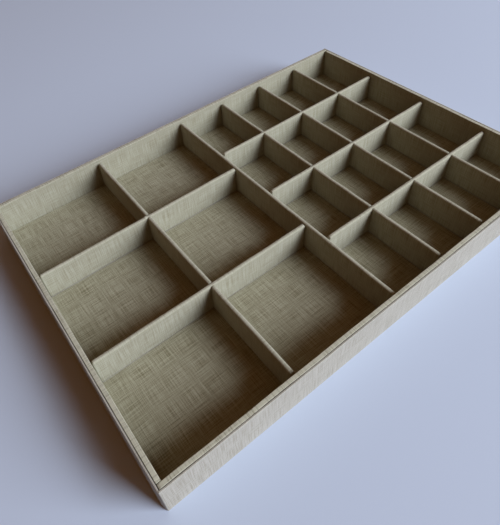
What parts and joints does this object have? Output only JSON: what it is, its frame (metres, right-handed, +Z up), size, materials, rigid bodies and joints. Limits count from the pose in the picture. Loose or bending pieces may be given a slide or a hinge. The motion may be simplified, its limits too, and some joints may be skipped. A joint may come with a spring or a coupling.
{
  "type": "jewelry tray",
  "caption": "Shallow linen-covered rectangular tray parted into large and small compartments by covered strips that lift out as grids.",
  "frame": {"origin": "centre of the tray's underside", "axes": "+X along the long side, towards the small compartments; +Y from the front wall to the back wall; +Z up"},
  "size_m": [0.35, 0.244, 0.03],
  "materials": {
    "outer_linen": "plain-weave linen, matt",
    "underside_linen": "plain-weave linen, matt",
    "floor_linen": "plain-weave linen, matt",
    "liner_linen": "plain-weave linen, matt",
    "divider_linen": "plain-weave linen, matt",
    "floor_card": "raw card",
    "grey_board": "raw greyboard"
  },
  "bodies": {
    "tray": {"back_liner_board": "grey_board", "back_liner_cloth": "liner_linen", "back_outer_board": "grey_board", "base_board": "grey_board", "floor_card": "floor_card", "floor_cloth": "floor_linen", "front_liner_board": "grey_board", "front_liner_cloth": "liner_linen", "front_outer_board": "grey_board", "left_liner_board": "grey_board", "left_liner_cloth": "liner_linen", "left_outer_board": "grey_board", "outer_wrap_cloth": "outer_linen", "partition_board": "grey_board", "partition_cloth": "divider_linen", "right_liner_board": "grey_board", "right_liner_cloth": "liner_linen", "right_outer_board": "grey_board", "underside_cloth": "underside_linen"},
    "large_grid": {"large_cross_divider_1_board": "grey_board", "large_cross_divider_1_cloth": "divider_linen", "large_long_divider_1_board": "grey_board", "large_long_divider_1_cloth": "divider_linen", "large_long_divider_2_board": "grey_board", "large_long_divider_2_cloth": "divider_linen"},
    "small_grid": {"small_cross_divider_1_board": "grey_board", "small_cross_divider_1_cloth": "divider_linen", "small_cross_divider_2_board": "grey_board", "small_cross_divider_2_cloth": "divider_linen", "small_cross_divider_3_board": "grey_board", "small_cross_divider_3_cloth": "divider_linen", "small_long_divider_1_board": "grey_board", "small_long_divider_1_cloth": "divider_linen", "small_long_divider_2_board": "grey_board", "small_long_divider_2_cloth": "divider_linen", "small_long_divider_3_board": "grey_board", "small_long_divider_3_cloth": "divider_linen"}
  },
  "joints": [
    {"name": "large_grid_lift", "type": "slide", "parent": "tray", "child": "large_grid", "axis": [0, 0, 1], "range_m": [0, 0.04]},
    {"name": "small_grid_lift", "type": "slide", "parent": "tray", "child": "small_grid", "axis": [0, 0, 1], "range_m": [0, 0.04]}
  ]
}
